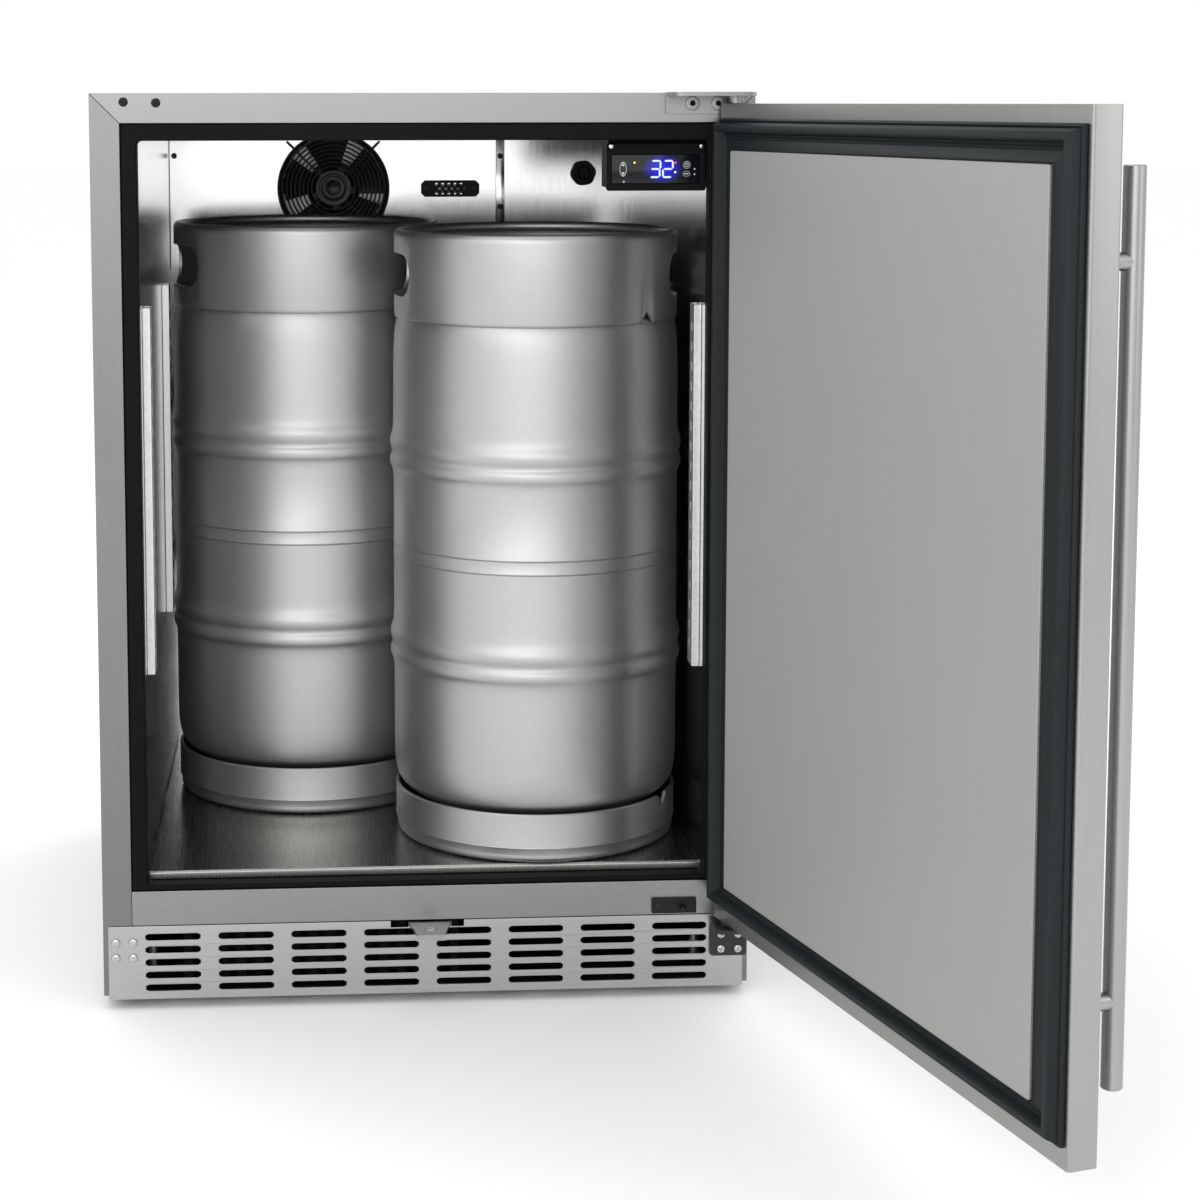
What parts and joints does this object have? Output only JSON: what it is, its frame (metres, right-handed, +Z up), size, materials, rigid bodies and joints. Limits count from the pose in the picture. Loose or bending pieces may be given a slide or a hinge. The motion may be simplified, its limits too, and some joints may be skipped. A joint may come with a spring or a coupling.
{
  "type": "kegerator",
  "caption": "Built-in undercounter beer cooler with its door standing open on slim kegs, a fan guard, a digital controller and a slotted toe plate.",
  "frame": {"origin": "on the floor, under the middle of the cabinet's front plane", "axes": "+Z up, +X to the right seen from the front, -Y out of the front, towards someone at the door"},
  "size_m": [0.791, 1.218, 0.8536],
  "materials": {
    "brushed_stainless": "satin",
    "polished_stainless": "polished",
    "satin_stainless": "satin",
    "galvanised_steel": "matte",
    "black_plastic": "satin",
    "black_metal": "satin",
    "dark_window": "gloss",
    "gasket_rubber": "matte",
    "foam": "matte",
    "bare_aluminium": "satin"
  },
  "bodies": {
    "cabinet": {"left_side_panel": "brushed_stainless", "right_side_panel": "brushed_stainless", "top_panel": "brushed_stainless", "rear_panel": "galvanised_steel", "base_pan": "galvanised_steel", "lower_front_rail": "brushed_stainless", "breaker_frame": "black_plastic", "kick_plate": "brushed_stainless", "liner_left": "polished_stainless", "liner_right": "polished_stainless", "liner_top": "polished_stainless", "liner_back": "polished_stainless", "floor_pan": "satin_stainless", "insulation": "foam", "shelf_standard_front_left": "bare_aluminium", "shelf_standard_front_right": "bare_aluminium", "shelf_standard_rear_left": "bare_aluminium", "shelf_standard_rear_right": "bare_aluminium", "evaporator_cover": "polished_stainless", "evaporator_coil": "bare_aluminium", "fan_guard": "black_metal", "fan_motor": "black_metal", "vent_plate": "black_plastic", "line_grommet": "black_plastic", "compressor": "black_metal", "condenser_coil": "bare_aluminium", "condenser_fan_shroud": "black_plastic", "controller_housing": "black_plastic", "controller_window": "dark_window", "top_hinge_bracket": "polished_stainless", "lower_hinge_bracket": "black_metal", "door_switch_housing": "black_plastic", "lock_strike": "brushed_stainless", "cord_gland": "black_plastic"},
    "door": {"door_skin": "brushed_stainless", "door_core": "foam", "door_liner": "brushed_stainless", "door_gasket": "gasket_rubber", "handle_bar": "brushed_stainless", "handle_standoff_upper": "brushed_stainless", "handle_standoff_lower": "brushed_stainless", "hinge_bush_lower": "black_plastic", "hinge_bush_upper": "black_plastic"},
    "evaporator_fan": {"fan_rotor": "black_plastic"},
    "condenser_fan": {"condenser_fan_rotor": "black_plastic"},
    "switch_button": {"door_switch_plunger": "black_plastic"},
    "lock_key": {"lock_barrel": "polished_stainless"},
    "lock_pin": {"lock_bolt": "satin_stainless"},
    "front_keg": {"keg_front_shell": "satin_stainless", "keg_front_collar": "satin_stainless", "keg_front_foot_ring": "satin_stainless", "keg_front_valve": "satin_stainless"},
    "rear_keg": {"keg_rear_shell": "satin_stainless", "keg_rear_collar": "satin_stainless", "keg_rear_foot_ring": "satin_stainless", "keg_rear_valve": "satin_stainless"},
    "foot_front_left": {"levelling_foot_front_left": "galvanised_steel"},
    "foot_front_right": {"levelling_foot_front_right": "galvanised_steel"},
    "foot_rear_left": {"levelling_foot_rear_left": "galvanised_steel"},
    "foot_rear_right": {"levelling_foot_rear_right": "galvanised_steel"}
  },
  "joints": [
    {"name": "door_hinge", "type": "hinge", "parent": "cabinet", "child": "door", "pos_m": [0.2808, -0.0247, 0], "axis": [0, 0, 1], "range_deg": [-105.8, 9]},
    {"name": "evaporator_fan_spin", "type": "hinge", "parent": "cabinet", "child": "evaporator_fan", "pos_m": [-0.0811, 0.501, 0.7503], "axis": [0, 1, 0], "continuous": true},
    {"name": "condenser_fan_spin", "type": "hinge", "parent": "cabinet", "child": "condenser_fan", "pos_m": [-0.1, 0.059, 0.051], "axis": [0, 1, 0], "continuous": true},
    {"name": "door_switch_press", "type": "slide", "parent": "cabinet", "child": "switch_button", "axis": [0, 1, 0], "range_m": [0, 0.005], "stiffness_N_per_m": 300, "springref_m": -0.004},
    {"name": "front_keg_slide", "type": "slide", "parent": "cabinet", "child": "front_keg", "axis": [-0.0599, -0.9982, 0], "range_m": [0, 0.66]},
    {"name": "rear_keg_slide", "type": "slide", "parent": "cabinet", "child": "rear_keg", "axis": [0, -1, 0], "range_m": [0, 0.561]},
    {"name": "lock_turn", "type": "hinge", "parent": "door", "child": "lock_key", "pos_m": [0.37403, -0.28807, 0.118], "axis": [-0.9622, -0.2723, 0], "range_deg": [0, 90]},
    {"name": "lock_pin_slide", "type": "slide", "parent": "door", "child": "lock_pin", "axis": [0, 0, -1], "range_m": [0, 0.008]},
    {"name": "foot_front_left_level", "type": "slide", "parent": "cabinet", "child": "foot_front_left", "axis": [0, 0, 1], "range_m": [-0.015, 0.001]},
    {"name": "foot_front_right_level", "type": "slide", "parent": "cabinet", "child": "foot_front_right", "axis": [0, 0, 1], "range_m": [-0.015, 0.001]},
    {"name": "foot_rear_left_level", "type": "slide", "parent": "cabinet", "child": "foot_rear_left", "axis": [0, 0, 1], "range_m": [-0.015, 0.001]},
    {"name": "foot_rear_right_level", "type": "slide", "parent": "cabinet", "child": "foot_rear_right", "axis": [0, 0, 1], "range_m": [-0.015, 0.001]}
  ],
  "couplings": [
    {"joint": "rear_keg_slide", "follows": "front_keg_slide", "ratio": 0.85},
    {"joint": "lock_pin_slide", "follows": "lock_turn", "m_per_rad": 0.005093}
  ]
}
